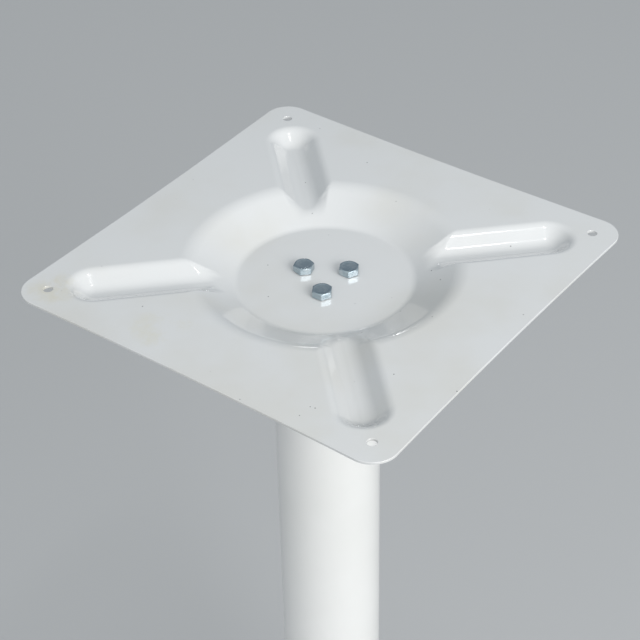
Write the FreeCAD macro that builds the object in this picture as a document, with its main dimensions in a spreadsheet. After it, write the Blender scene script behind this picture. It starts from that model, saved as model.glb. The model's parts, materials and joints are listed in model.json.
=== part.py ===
"""Pedestal base for a table top: a pressed square plate bolted on a round steel column,
which stands on a round weighted foot with four screw glides. Millimetres, +Z up.
The origin is on the floor, on the column's axis. The plate's sides lie along X and Y."""
import FreeCAD, Part
import math
import os

import Sketcher
from FreeCAD import Placement, Rotation, Vector

# Driving dimensions: alias, value, what it is. Everything else is worked out from these.
DIMENSIONS = (
    ("overall_height", 720.0, "floor to the plate's top face"),
    # pressed top plate
    ("plate_side", 300.0, "side of the square plate between its sharp corners"),
    ("plate_bow", 2.2, "how far the pressing draws the middle of each side in"),
    ("plate_thick", 2.0, "sheet thickness of the plate"),
    ("plate_corner", 18.0, "corner radius of the plate"),
    ("plate_trim", 3.0, "waste that is trimmed off each side of the blank"),
    ("press_block", 30.0, "depth of the block that the pressing is hollowed from"),
    ("dish_depth", 15.5, "depth of the round dish"),
    ("dish_floor_radius", 61.0, "radius of the dish's flat floor"),
    ("dish_mouth_radius", 92.5, "radius where the dish's wall would meet the plate"),
    ("dish_floor_bend", 10.0, "bend radius between the dish's floor and wall"),
    ("dish_mouth_bend", 26.0, "bend radius between the dish's wall and the plate"),
    ("bead_depth", 9.6, "depth of the four diagonal beads"),
    ("bead_mouth_half", 17.2, "half of a bead's width where its wall would meet the plate"),
    ("bead_floor_half", 5.8, "half of the width of a bead's flat floor"),
    ("bead_end_centre", 154.7, "plate's centre to the centre of a bead's round end"),
    ("bead_floor_bend", 12.0, "bend radius along a bead's floor"),
    ("bead_mouth_bend", 9.0, "bend radius along a bead's mouth"),
    ("screw_spacing", 263.0, "side of the square of wood screw holes"),
    ("screw_hole_radius", 3.25, "radius of a wood screw hole"),
    # bolts, three at each end of the column
    ("bolt_count", 3.0, "bolts at each end of the column"),
    ("bolt_circle_radius", 18.0, "radius of the circle that the bolts stand on"),
    ("bolt_shank_radius", 4.0, "M8 shank, drawn at the thread's outer diameter"),
    ("bolt_head_flats", 13.0, "M8 head across flats"),
    ("bolt_head_height", 5.3, "M8 head height"),
    ("bolt_crown_radius", 6.3, "radius of the flat on top of an M8 head"),
    ("bolt_face_thick", 0.4, "washer face under an M8 head"),
    ("bolt_face_radius", 5.8, "radius of the washer face"),
    ("bolt_tip_chamfer", 1.0, "chamfer at the end of a shank"),
    ("top_bolt_length", 20.0, "length of a top bolt under its head"),
    ("base_bolt_length", 40.0, "length of a base bolt under its head"),
    ("clearance_hole_radius", 4.5, "clearance hole for an M8 bolt"),
    ("tapped_hole_radius", 4.05, "tapped hole, drawn just over the thread's outer diameter"),
    # column
    ("tube_radius", 38.0, "outer radius of the column tube"),
    ("tube_wall", 2.0, "wall of the column tube"),
    ("plug_thick", 12.0, "thickness of the tapped plug welded in each end of the tube"),
    ("plug_edge_chamfer", 1.5, "weld chamfer round a plug's inner face"),
    # foot
    ("cover_radius", 225.0, "outer radius of the foot's pressed cover"),
    ("cover_thick", 1.5, "sheet thickness of the cover"),
    ("cover_lip_bottom", 8.0, "floor to the cover's lower edge"),
    ("cover_shoulder_height", 26.0, "floor to the corner between the cover's lip and its slope"),
    ("cover_seat_height", 46.0, "floor to the flat seat that the column stands on"),
    ("cover_seat_radius", 58.0, "radius of that flat seat"),
    ("cover_shoulder_bend", 9.0, "bend radius at the cover's shoulder"),
    ("cover_seat_bend", 30.0, "bend radius round the cover's seat"),
    ("trim_bottom", 5.5, "floor to the underside of the soft edge trim"),
    ("trim_top", 14.0, "floor to the top of the edge trim's legs"),
    ("trim_thick", 1.4, "thickness of the trim's legs"),
    ("trim_top_rounding", 0.8, "rounding at the top of the trim's outer leg"),
    ("trim_foot_rounding", 1.1, "rounding at the foot of the trim's outer leg"),
    ("weight_radius", 208.0, "radius of the cast weight under the cover"),
    ("weight_bottom", 12.2, "floor to the weight's underside"),
    ("weight_top", 23.5, "floor to the top of the weight's disc"),
    ("weight_boss_radius", 46.0, "radius of the weight's centre boss"),
    ("weight_recess_radius", 37.0, "radius of the recess under the centre boss"),
    ("weight_recess_top", 24.0, "floor to the roof of that recess"),
    ("weight_edge_chamfer", 3.0, "chamfer round the weight"),
    ("weight_boss_fillet", 6.0, "fillet at the root of the centre boss"),
    ("weight_pad_radius", 13.0, "radius of the small boss over each glide"),
    ("weight_pad_top", 27.0, "floor to the top of that boss"),
    ("clamp_plate_radius", 34.0, "radius of the clamp plate in the recess"),
    ("clamp_plate_thick", 4.0, "thickness of the clamp plate"),
    ("clamp_plate_chamfer", 0.8, "chamfer round the clamp plate's lower rim"),
    ("lock_washer_thick", 2.0, "thickness of a split lock washer"),
    ("lock_washer_radius", 6.4, "outer radius of a split lock washer"),
    ("lock_washer_bore", 4.1, "bore radius of a split lock washer"),
    ("lock_washer_split", 1.2, "gap in a split lock washer"),
    # glides
    ("glide_count", 4.0, "screw glides under the foot"),
    ("glide_circle_radius", 180.0, "radius of the circle that the glides stand on"),
    ("glide_pad_radius", 16.0, "radius of a glide's nylon pad"),
    ("glide_pad_height", 7.0, "height of the pad"),
    ("glide_pad_neck", 12.0, "radius of the pad's top"),
    ("glide_pad_foot_height", 2.5, "height of the pad's straight rim"),
    ("glide_pad_bevel", 0.8, "bevel at the pad's sole and bend at its shoulder"),
    ("glide_collar_radius", 5.6, "radius of the stud's collar, inside the pad"),
    ("glide_collar_bottom", 2.6, "floor to the underside of the collar"),
    ("glide_collar_top", 5.0, "floor to the top of the collar"),
    ("glide_neck_radius", 3.6, "radius of the stud's neck, in the pad's mouth"),
    ("glide_fit", 0.05, "gap between the turning stud and the pad"),
    ("glide_hex_flats", 14.0, "stud's hexagon across flats"),
    ("glide_hex_bottom", 7.4, "floor to the underside of the hexagon"),
    ("glide_hex_height", 4.6, "height of the stud's hexagon"),
    ("glide_stud_radius", 4.0, "M8 stud, drawn at the thread's outer diameter"),
    ("glide_stud_length", 16.4, "length of the stud over its hexagon"),
)

DIAGONAL = 45.0
BOLT_ANGLES = (90.0, 210.0, 330.0)
TOP_HEAD_TURNS = (17.0, 32.0, 31.5)  # where each head stopped when it was tightened
BASE_HEAD_TURNS = (8.0, 44.0, 23.0)
GLIDE_ANGLES = (45.0, 135.0, 225.0, 315.0)
GLIDE_HEX_TURNS = (0.0, 22.0, 11.0, 41.0)
CROWN_SLOPE = 30.0  # degrees of the chamfer round the top of a bolt head
BOSS_DRAFT = 5.0  # degrees of draft on a cast boss
PLATE_UNDERSIDE = "(Dims.overall_height - Dims.dish_depth - Dims.plate_thick)"
CLAMP_UNDERSIDE = "(Dims.weight_recess_top - Dims.clamp_plate_thick)"

doc = FreeCAD.newDocument("PedestalBase")
dims = doc.addObject("Spreadsheet::Sheet", "Dims")
sub_parts = []


def fill_sheet():
    """Writes the driving dimensions into the spreadsheet, one row each."""
    for row, (alias, value, meaning) in enumerate(DIMENSIONS, start=1):
        dims.set(f"A{row}", meaning)
        dims.set(f"B{row}", str(value))
        dims.setAlias(f"B{row}", alias)
    doc.recompute()


def size(expression):
    """The number that an expression of the spreadsheet's aliases comes to."""
    value = dims.evalExpression(expression)
    return float(getattr(value, "Value", value))


def bind(feature, **expressions):
    """Binds properties to expressions. A double underscore stands for a dot in a property's path."""
    for path, expression in expressions.items():
        feature.setExpression(path.replace("__", "."), expression)


def keep(feature, label):
    """Names a finished sub-part and lists it for export."""
    feature.Label = label
    sub_parts.append(feature)
    return feature


# ---------------------------------------------------------------- sketches and features


def new_body(name):
    return doc.addObject("PartDesign::Body", name)


def sketch_in(body, name, role, lift=None, turn=0.0):
    """An empty sketch on one of the body's own origin planes, lifted off it by an expression."""
    sketch = body.newObject("Sketcher::SketchObject", name)
    plane = next(f for f in body.Origin.OriginFeatures if f.Role == role)
    sketch.AttachmentSupport = [(plane, "")]
    sketch.MapMode = "FlatFace"
    if turn:
        sketch.AttachmentOffset = Placement(Vector(), Rotation(Vector(0, 1, 0), turn))
    if lift:
        sketch.setExpression("AttachmentOffset.Base.z", lift)
    return sketch


def pin_point(sketch, geometry, end, x, y, name):
    """Holds one end of a sketch's line or arc at the place that two expressions give."""
    for axis, kind, expression in ((-2, "DistanceX", x), (-1, "DistanceY", y)):
        if expression == "0":
            sketch.addConstraint(Sketcher.Constraint("PointOnObject", geometry, end, axis))
            continue
        index = sketch.addConstraint(
            Sketcher.Constraint(kind, -1, 1, geometry, end, size(expression))
        )
        label = f"{name}_{kind[-1].lower()}"
        sketch.renameConstraint(index, label)
        sketch.setExpression(f"Constraints.{label}", expression)


def draw_polygon(sketch, corners):
    """A closed outline of straight lines through corners given as pairs of expressions."""
    points = [Vector(size(x), size(y), 0) for x, y in corners]
    count, first = len(points), sketch.GeometryCount
    for i in range(count):
        sketch.addGeometry(Part.LineSegment(points[i], points[(i + 1) % count]), False)
    for i in range(count):
        following = first + (i + 1) % count
        sketch.addConstraint(Sketcher.Constraint("Coincident", first + i, 2, following, 1))
    for i, (x, y) in enumerate(corners, start=first):
        pin_point(sketch, i, 1, x, y, f"corner{i}")


def draw_bowed_polygon(sketch, corners, side, bow):
    """A closed outline of equal sides, given anticlockwise, each an arc drawn in by a bow."""
    points = [Vector(size(x), size(y), 0) for x, y in corners]
    count, first = len(points), sketch.GeometryCount
    middle = sum(points, Vector()) / count
    radius = f"({side}^2 / 4 + {bow}^2) / (2 * {bow})"
    for i in range(count):
        low, high = points[i], points[(i + 1) % count]
        inward = (middle - (low + high) / 2).normalize()
        top = (low + high) / 2 + inward * size(bow)
        sketch.addGeometry(Part.Arc(low, top, high), False)
    for i, (x, y) in enumerate(corners):
        # these arcs are clockwise, so the sketch calls a side's far end its start
        arc, before = first + i, first + (i - 1) % count
        sketch.addConstraint(Sketcher.Constraint("Coincident", before, 1, arc, 2))
        pin_point(sketch, arc, 2, x, y, f"corner{arc}")
        index = sketch.addConstraint(Sketcher.Constraint("Radius", arc, size(radius)))
        sketch.renameConstraint(index, f"bow{arc}")
        sketch.setExpression(f"Constraints.bow{arc}", radius)


def draw_circle(sketch, x, y, radius, name="hole"):
    """A circle whose centre and radius are expressions."""
    centre = Vector(size(x), size(y), 0)
    index = sketch.addGeometry(Part.Circle(centre, Vector(0, 0, 1), size(radius)), False)
    pin_point(sketch, index, 3, x, y, f"{name}_centre")
    constraint = sketch.addConstraint(Sketcher.Constraint("Radius", index, size(radius)))
    sketch.renameConstraint(constraint, f"{name}_radius")
    sketch.setExpression(f"Constraints.{name}_radius", radius)


def revolve(body, name, corners, kind="PartDesign::Revolution"):
    """Turns an outline in the body's XZ plane once round Z."""
    sketch = sketch_in(body, f"{name}Profile", "XZ_Plane")
    draw_polygon(sketch, corners)
    feature = body.newObject(kind, name)
    feature.Profile = sketch
    feature.ReferenceAxis = (sketch, ["V_Axis"])
    feature.Angle = 360
    doc.recompute()
    return feature


def cut(body, name, sketch, length, reverse=False):
    """Cuts a sketch's outline out of the body, away from the sketch."""
    before = body.Shape.Volume
    pocket = body.newObject("PartDesign::Pocket", name)
    pocket.Profile = sketch
    pocket.setExpression("Length", length)
    pocket.Reversed = reverse
    doc.recompute()
    if pocket.Shape.Volume > before - 1.0:
        raise RuntimeError(f"{name} cut nothing from {body.Label}")
    return pocket


def pattern_round(body, name, features, count):
    """Repeats features evenly round the body's Z axis."""
    pattern = body.newObject("PartDesign::PolarPattern", name)
    pattern.Originals = features
    pattern.Axis = (next(f for f in body.Origin.OriginFeatures if f.Role == "Z_Axis"), [""])
    pattern.Angle = 360
    pattern.setExpression("Occurrences", count)
    body.Tip = pattern
    doc.recompute()
    return pattern


def edges_where(shape, test):
    """Names of the edges whose evenly spread points all pass a test."""
    steps = 8
    found = []
    for number, edge in enumerate(shape.Edges, start=1):
        first, span = edge.FirstParameter, edge.LastParameter - edge.FirstParameter
        points = [edge.valueAt(first + span * k / steps) for k in range(steps + 1)]
        if test(points):
            found.append(f"Edge{number}")
    return found


def soften(body, name, test, amount, kind="PartDesign::Fillet"):
    """Fillets or chamfers the edges of the body's last feature that pass a test."""
    base = body.Tip
    feature = body.newObject(kind, name)
    feature.Base = (base, edges_where(base.Shape, test))
    feature.setExpression("Size" if kind.endswith("Chamfer") else "Radius", amount)
    doc.recompute()
    return feature


def near(a, b, slack=1e-4):
    return abs(a - b) < slack


def reach(point):
    """A point's distance from the Z axis."""
    return math.hypot(point.x, point.y)


def ring_at(radius, height):
    """A test for circles round Z of this radius at this height."""
    return lambda points: all(near(reach(p), radius, 1e-3) and near(p.z, height) for p in points)


# ---------------------------------------------------------------- holes


def drill_ring(body, name, role_lift, radius, circle, count, length, start_angle=0.0):
    """Evenly spaced round holes, cut downwards from a level."""
    sketch = sketch_in(body, f"{name}Sketch", "XY_Plane", lift=role_lift)
    x = f"{circle} * cos({start_angle} deg)"
    y = f"{circle} * sin({start_angle} deg)" if start_angle else "0"
    draw_circle(sketch, x, y, radius)
    hole = cut(body, name, sketch, length)
    return pattern_round(body, f"{name}s", [hole], count)


# ---------------------------------------------------------------- pressed top plate


def make_top_plate():
    """A square block, hollowed by the dish and the beads, whose skin is trimmed to the plate."""
    body = new_body("TopPlate")
    blank = "(Dims.plate_side / 2 + Dims.plate_trim)"
    outline = sketch_in(body, "BlankOutline", "XY_Plane")
    draw_polygon(outline, square(blank))
    block = body.newObject("PartDesign::Pad", "Block")
    block.Profile = outline
    block.Reversed = True
    bind(block, Length="Dims.press_block")
    doc.recompute()

    revolve(
        body,
        "Dish",
        [
            ("0", "-Dims.dish_depth"),
            ("Dims.dish_floor_radius", "-Dims.dish_depth"),
            ("Dims.dish_mouth_radius", "0"),
            ("0", "0"),
        ],
        "PartDesign::Groove",
    )
    floor_ring = ring_at(size("Dims.dish_floor_radius"), -size("Dims.dish_depth"))
    soften(body, "DishFloorBend", floor_ring, "Dims.dish_floor_bend")
    mouth_ring = ring_at(size("Dims.dish_mouth_radius"), 0.0)
    soften(body, "DishMouthBend", mouth_ring, "Dims.dish_mouth_bend")

    press_beads(body)
    bend_bead_edges(body)
    bottom = -size("Dims.press_block")
    hollow(body, "Dims.plate_thick", lambda box: near(box.ZMin, bottom, 1e-2))
    trim_plate(body)

    drill_ring(
        body, "BoltHole", "0", "Dims.clearance_hole_radius", "Dims.bolt_circle_radius",
        "Dims.bolt_count", "Dims.press_block", start_angle=BOLT_ANGLES[0],
    )
    screw_circle = "(Dims.screw_spacing / sqrt(2))"
    drill_ring(
        body, "ScrewHole", "0", "Dims.screw_hole_radius", screw_circle,
        "4", "Dims.press_block", start_angle=DIAGONAL,
    )
    bind(body, Placement__Base__z="Dims.overall_height")
    return keep(body, "top_plate")


def square(half):
    """The corners of a square round the origin, anticlockwise."""
    return [(f"-{half}", f"-{half}"), (half, f"-{half}"), (half, half), (f"-{half}", half)]


def trim_plate(body):
    """Cuts the blank's rim away outside the plate's drawn-in sides and rounds the four corners."""
    half = "(Dims.plate_side / 2)"
    waste = sketch_in(body, "TrimOutline", "XY_Plane")
    draw_bowed_polygon(waste, square(half), "Dims.plate_side", "Dims.plate_bow")
    draw_polygon(waste, square("(Dims.plate_side / 2 + 2 * Dims.plate_trim)"))
    cut(body, "Trim", waste, "Dims.press_block")
    corner_reach = size(half) * math.sqrt(2)
    soften(
        body,
        "PlateCorners",
        lambda points: all(near(reach(p), corner_reach, 1e-3) for p in points),
        "Dims.plate_corner",
    )


def press_beads(body):
    """Four straight channels along the diagonals, each with a half-round end."""
    mouth, floor, deep = "Dims.bead_mouth_half", "Dims.bead_floor_half", "Dims.bead_depth"
    across = sketch_in(body, "BeadAcross", "YZ_Plane", turn=DIAGONAL)
    draw_polygon(
        across,
        [(f"-{mouth}", "0"), (f"-{floor}", f"-{deep}"), (floor, f"-{deep}"), (mouth, "0")],
    )
    centre = "Dims.bead_end_centre"
    channel = cut(body, "BeadChannel", across, centre, reverse=True)

    along = sketch_in(body, "BeadEndProfile", "XZ_Plane", turn=DIAGONAL)
    draw_polygon(
        along,
        [
            (centre, "0"),
            (centre, f"-{deep}"),
            (f"{centre} + {floor}", f"-{deep}"),
            (f"{centre} + {mouth}", "0"),
        ],
    )
    end = body.newObject("PartDesign::Groove", "BeadEnd")
    end.Profile = along
    end.ReferenceAxis = (along, ["Edge1"])
    end.Angle = 360
    doc.recompute()
    pattern_round(body, "Beads", [channel, end], "4")


def bend_bead_edges(body):
    """Rounds the beads along their floors, then along their mouths down into the dish."""
    depth = size("Dims.bead_depth")
    wall_reach = size(
        "Dims.dish_mouth_radius - Dims.bead_depth / Dims.dish_depth"
        " * (Dims.dish_mouth_radius - Dims.dish_floor_radius)"
    )

    def on_bead_floor(points):
        level = all(near(p.z, -depth) for p in points)
        return level and not all(near(reach(p), wall_reach, 1e-3) for p in points)

    soften(body, "BeadFloorBend", on_bead_floor, "Dims.bead_floor_bend")

    top_edges = [e for e in body.Shape.Edges if near(e.BoundBox.ZMin, 0.0)]
    dish_edge_reach = min(reach(v.Point) for e in top_edges for v in e.Vertexes)
    inner_half = size("Dims.plate_side / 2") - 1.0

    def on_bead_mouth(points):
        level = all(near(p.z, 0.0) for p in points)
        inside = all(max(abs(p.x), abs(p.y)) < inner_half for p in points)
        return level and inside and not all(near(reach(p), dish_edge_reach, 1e-3) for p in points)

    soften(body, "BeadMouthBend", on_bead_mouth, "Dims.bead_mouth_bend")


def hollow(body, thickness, is_open):
    """Keeps only a skin inside the body's faces, and none at the faces that pass the test."""
    base = body.Tip
    faces = enumerate(base.Shape.Faces, start=1)
    open_faces = [f"Face{number}" for number, face in faces if is_open(face.BoundBox)]
    skin = body.newObject("PartDesign::Thickness", "Sheet")
    skin.Base = (base, open_faces)
    skin.setExpression("Value", thickness)
    skin.Reversed = True
    skin.Mode = "Skin"
    skin.Join = "Arc"
    doc.recompute()


# ---------------------------------------------------------------- bolts and washers


def make_bolt(label, length, head_turn, angle, level, upside_down=False):
    """An M8 hex bolt: z = 0 is the seat under its head, the head is above and the shank below."""
    body = new_body(label)
    seat, top = "Dims.bolt_face_thick", "Dims.bolt_head_height"
    corner = "(Dims.bolt_head_flats / sqrt(3))"
    revolve(
        body,
        "Turned",
        [
            ("0", f"-{length}"),
            ("Dims.bolt_shank_radius - Dims.bolt_tip_chamfer", f"-{length}"),
            ("Dims.bolt_shank_radius", f"Dims.bolt_tip_chamfer - {length}"),
            ("Dims.bolt_shank_radius", "0"),
            ("Dims.bolt_face_radius", "0"),
            ("Dims.bolt_face_radius", seat),
            ("0", seat),
        ],
    )
    hexagon = sketch_in(body, "HeadOutline", "XY_Plane", lift=seat)
    draw_hexagon(hexagon, corner)
    head = body.newObject("PartDesign::Pad", "Head")
    head.Profile = hexagon
    bind(head, Length=f"{top} - {seat}")
    doc.recompute()
    crown, outside = "Dims.bolt_crown_radius", f"({corner} + 1)"
    crown_drop = f"({outside} - {crown}) * tan({CROWN_SLOPE} deg)"
    revolve(
        body,
        "Crown",
        [(crown, top), (outside, top), (outside, f"{top} - {crown_drop}")],
        "PartDesign::Groove",
    )
    flip = Rotation(Vector(1, 0, 0), 180) if upside_down else Rotation()
    body.Placement = Placement(Vector(), Rotation(Vector(0, 0, 1), head_turn).multiply(flip))
    bind(
        body,
        Placement__Base__x=f"Dims.bolt_circle_radius * cos({angle} deg)",
        Placement__Base__y=f"Dims.bolt_circle_radius * sin({angle} deg)",
        Placement__Base__z=level,
    )
    return keep(body, label)


def draw_hexagon(sketch, corner):
    """A hexagon with one corner on the sketch's X axis."""
    corners = [(corner, "0")]
    for step in range(1, 6):
        x = f"{corner} * cos({60 * step} deg)"
        y = "0" if step == 3 else f"{corner} * sin({60 * step} deg)"
        corners.append((x, y))
    draw_polygon(sketch, corners)


def make_lock_washer(label, angle, level, split_turn):
    """A split ring, flattened under a tight bolt."""
    body = new_body(label)
    ring = sketch_in(body, "RingOutline", "XY_Plane")
    draw_circle(ring, "0", "0", "Dims.lock_washer_radius", "rim")
    draw_circle(ring, "0", "0", "Dims.lock_washer_bore", "bore")
    pad = body.newObject("PartDesign::Pad", "Ring")
    pad.Profile = ring
    bind(pad, Length="Dims.lock_washer_thick")
    doc.recompute()
    split = sketch_in(body, "SplitOutline", "XY_Plane", lift="Dims.lock_washer_thick")
    half, outside = "(Dims.lock_washer_split / 2)", "(Dims.lock_washer_radius + 1)"
    draw_polygon(split, [("1", f"-{half}"), (outside, f"-{half}"), (outside, half), ("1", half)])
    cut(body, "Split", split, "Dims.lock_washer_thick")
    body.Placement = Placement(Vector(), Rotation(Vector(0, 0, 1), split_turn))
    bind(
        body,
        Placement__Base__x=f"Dims.bolt_circle_radius * cos({angle} deg)",
        Placement__Base__y=f"Dims.bolt_circle_radius * sin({angle} deg)",
        Placement__Base__z=level,
    )
    return keep(body, label)


# ---------------------------------------------------------------- column


def make_column_tube():
    """A plain round tube from the foot's seat to the underside of the plate's dish."""
    body = new_body("ColumnTube")
    ring = sketch_in(body, "TubeOutline", "XY_Plane")
    draw_circle(ring, "0", "0", "Dims.tube_radius", "outside")
    draw_circle(ring, "0", "0", "Dims.tube_radius - Dims.tube_wall", "inside")
    tube = body.newObject("PartDesign::Pad", "Tube")
    tube.Profile = ring
    bind(tube, Length=f"{PLATE_UNDERSIDE} - Dims.cover_seat_height")
    bind(body, Placement__Base__z="Dims.cover_seat_height")
    doc.recompute()
    return keep(body, "column_tube")


def make_plug(label, level, chamfer_on_top):
    """A disc welded into an end of the tube, with three tapped holes."""
    body = new_body(label)
    radius = "(Dims.tube_radius - Dims.tube_wall)"
    thick, bevel = "Dims.plug_thick", "Dims.plug_edge_chamfer"
    outline = [("0", "0"), (radius, "0"), (radius, thick), ("0", thick)]
    if chamfer_on_top:
        outline[2:3] = [(radius, f"{thick} - {bevel}"), (f"{radius} - {bevel}", thick)]
    else:
        outline[1:2] = [(f"{radius} - {bevel}", "0"), (radius, bevel)]
    revolve(body, "Disc", outline)
    drill_ring(
        body, "TappedHole", thick, "Dims.tapped_hole_radius", "Dims.bolt_circle_radius",
        "Dims.bolt_count", thick, start_angle=BOLT_ANGLES[0],
    )
    bind(body, Placement__Base__z=level)
    return keep(body, label)


# ---------------------------------------------------------------- foot


def make_base_cover():
    """A shallow round pressing with a straight lip, a sloping top and a flat seat."""
    body = new_body("BaseCover")
    lip, shoulder = "Dims.cover_lip_bottom", "Dims.cover_shoulder_height"
    seat, edge = "Dims.cover_seat_height", "Dims.cover_radius"
    revolve(
        body,
        "Dome",
        [("0", lip), (edge, lip), (edge, shoulder), ("Dims.cover_seat_radius", seat), ("0", seat)],
    )
    shoulder_ring = ring_at(size(edge), size(shoulder))
    soften(body, "ShoulderBend", shoulder_ring, "Dims.cover_shoulder_bend")
    seat_ring = ring_at(size("Dims.cover_seat_radius"), size(seat))
    soften(body, "SeatBend", seat_ring, "Dims.cover_seat_bend")
    hollow(body, "Dims.cover_thick", lambda box: near(box.ZMax, size(lip), 1e-2))
    drill_ring(
        body, "BoltHole", seat, "Dims.clearance_hole_radius", "Dims.bolt_circle_radius",
        "Dims.bolt_count", seat, start_angle=BOLT_ANGLES[0],
    )
    return keep(body, "base_cover")


def make_edge_trim():
    """A soft U-shaped ring pushed up over the cover's lip."""
    body = new_body("EdgeTrim")
    outside, inside = "Dims.cover_radius", "(Dims.cover_radius - Dims.cover_thick)"
    floor, lip, high = "Dims.trim_bottom", "Dims.cover_lip_bottom", "Dims.trim_top"
    leg = "Dims.trim_thick"
    revolve(
        body,
        "Channel",
        [
            (f"{inside} - {leg}", floor),
            (f"{outside} + {leg}", floor),
            (f"{outside} + {leg}", high),
            (outside, high),
            (outside, lip),
            (inside, lip),
            (inside, high),
            (f"{inside} - {leg}", high),
        ],
    )
    outer_ring = ring_at(size(f"{outside} + {leg}"), size(high))
    soften(body, "OuterLegRounding", outer_ring, "Dims.trim_top_rounding")
    foot_ring = ring_at(size(f"{outside} + {leg}"), size(floor))
    soften(body, "OuterFootRounding", foot_ring, "Dims.trim_foot_rounding")
    return keep(body, "base_edge_trim")


def make_base_weight():
    """A cast disc with a centre boss, a recess under it, and four tapped bosses for the glides."""
    body = new_body("BaseWeight")
    low, high, edge = "Dims.weight_bottom", "Dims.weight_top", "Dims.weight_radius"
    boss = "Dims.weight_boss_radius"
    boss_top = "(Dims.cover_seat_height - Dims.cover_thick)"
    revolve(
        body,
        "Disc",
        [
            ("Dims.weight_recess_radius", low),
            (edge, low),
            (edge, high),
            (boss, high),
            (boss, boss_top),
            ("0", boss_top),
            ("0", "Dims.weight_recess_top"),
            ("Dims.weight_recess_radius", "Dims.weight_recess_top"),
        ],
    )
    rings = (("Upper", edge, high), ("Lower", edge, low), ("Boss", boss, boss_top))
    for name, radius, height in rings:
        ring = ring_at(size(radius), size(height))
        chamfer = "Dims.weight_edge_chamfer"
        soften(body, f"{name}Chamfer", ring, chamfer, "PartDesign::Chamfer")
    soften(body, "BossRoot", ring_at(size(boss), size(high)), "Dims.weight_boss_fillet")

    pad_sketch = sketch_in(body, "GlideBossOutline", "XY_Plane", lift=high)
    circle = "Dims.glide_circle_radius"
    x, y = f"{circle} * cos({DIAGONAL} deg)", f"{circle} * sin({DIAGONAL} deg)"
    draw_circle(pad_sketch, x, y, "Dims.weight_pad_radius")
    glide_boss = body.newObject("PartDesign::Pad", "GlideBoss")
    glide_boss.Profile = pad_sketch
    glide_boss.TaperAngle = -BOSS_DRAFT
    bind(glide_boss, Length=f"Dims.weight_pad_top - {high}")
    doc.recompute()
    pattern_round(body, "GlideBosses", [glide_boss], "Dims.glide_count")
    drill_ring(
        body, "GlideHole", "Dims.weight_pad_top", "Dims.tapped_hole_radius", circle,
        "Dims.glide_count", "Dims.weight_pad_top", start_angle=DIAGONAL,
    )
    drill_ring(
        body, "BoltHole", "Dims.cover_seat_height", "Dims.clearance_hole_radius",
        "Dims.bolt_circle_radius", "Dims.bolt_count", "Dims.cover_seat_height",
        start_angle=BOLT_ANGLES[0],
    )
    return keep(body, "base_weight")


def make_clamp_plate():
    """A thick round washer in the weight's recess, which the three base bolts pull up."""
    body = new_body("ClampPlate")
    radius, thick = "Dims.clamp_plate_radius", "Dims.clamp_plate_thick"
    revolve(body, "Disc", [("0", "0"), (radius, "0"), (radius, thick), ("0", thick)])
    lower_rim = ring_at(size(radius), 0.0)
    soften(body, "RimChamfer", lower_rim, "Dims.clamp_plate_chamfer", "PartDesign::Chamfer")
    drill_ring(
        body, "BoltHole", thick, "Dims.clearance_hole_radius", "Dims.bolt_circle_radius",
        "Dims.bolt_count", thick, start_angle=BOLT_ANGLES[0],
    )
    bind(body, Placement__Base__z=f"Dims.weight_recess_top - {thick}")
    return keep(body, "base_clamp_plate")


# ---------------------------------------------------------------- glides


def place_on_glide_circle(body, angle, head_turn=0.0):
    body.Placement = Placement(Vector(), Rotation(Vector(0, 0, 1), head_turn))
    bind(
        body,
        Placement__Base__x=f"Dims.glide_circle_radius * cos({angle} deg)",
        Placement__Base__y=f"Dims.glide_circle_radius * sin({angle} deg)",
    )


def make_glide_pad(label, angle):
    """A nylon foot, moulded round the stud's collar so that the stud can turn in it."""
    body = new_body(label)
    rim, top = "Dims.glide_pad_foot_height", "Dims.glide_pad_height"
    socket = "(Dims.glide_collar_radius + Dims.glide_fit)"
    mouth = "(Dims.glide_neck_radius + Dims.glide_fit)"
    socket_roof = "Dims.glide_collar_top + 2 * Dims.glide_fit"
    socket_floor = "Dims.glide_collar_bottom - 2 * Dims.glide_fit"
    revolve(
        body,
        "Foot",
        [
            ("0", "0"),
            ("Dims.glide_pad_radius - Dims.glide_pad_bevel", "0"),
            ("Dims.glide_pad_radius", "Dims.glide_pad_bevel"),
            ("Dims.glide_pad_radius", rim),
            ("Dims.glide_pad_neck", top),
            (mouth, top),
            (mouth, socket_roof),
            (socket, socket_roof),
            (socket, socket_floor),
            ("0", socket_floor),
        ],
    )
    shoulder = ring_at(size("Dims.glide_pad_radius"), size(rim))
    soften(body, "Shoulder", shoulder, "Dims.glide_pad_bevel")
    place_on_glide_circle(body, angle)
    return keep(body, label)


def make_glide_stud(label, angle, head_turn):
    """A threaded stud with a hexagon to turn it by and a collar that the pad is moulded round."""
    body = new_body(label)
    neck, shank, bevel = "Dims.glide_neck_radius", "Dims.glide_stud_radius", "Dims.bolt_tip_chamfer"
    hexagon_top = "(Dims.glide_hex_bottom + Dims.glide_hex_height)"
    tip = f"({hexagon_top} + Dims.glide_stud_length)"
    revolve(
        body,
        "Turned",
        [
            ("0", "Dims.glide_collar_bottom"),
            ("Dims.glide_collar_radius", "Dims.glide_collar_bottom"),
            ("Dims.glide_collar_radius", "Dims.glide_collar_top"),
            (neck, "Dims.glide_collar_top"),
            (neck, hexagon_top),
            (shank, hexagon_top),
            (shank, f"{tip} - {bevel}"),
            (f"{shank} - {bevel}", tip),
            ("0", tip),
        ],
    )
    outline = sketch_in(body, "HexagonOutline", "XY_Plane", lift="Dims.glide_hex_bottom")
    draw_hexagon(outline, "Dims.glide_hex_flats / sqrt(3)")
    hexagon = body.newObject("PartDesign::Pad", "Hexagon")
    hexagon.Profile = outline
    bind(hexagon, Length="Dims.glide_hex_height")
    doc.recompute()
    place_on_glide_circle(body, angle, head_turn)
    return keep(body, label)


# ---------------------------------------------------------------- the whole part


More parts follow.
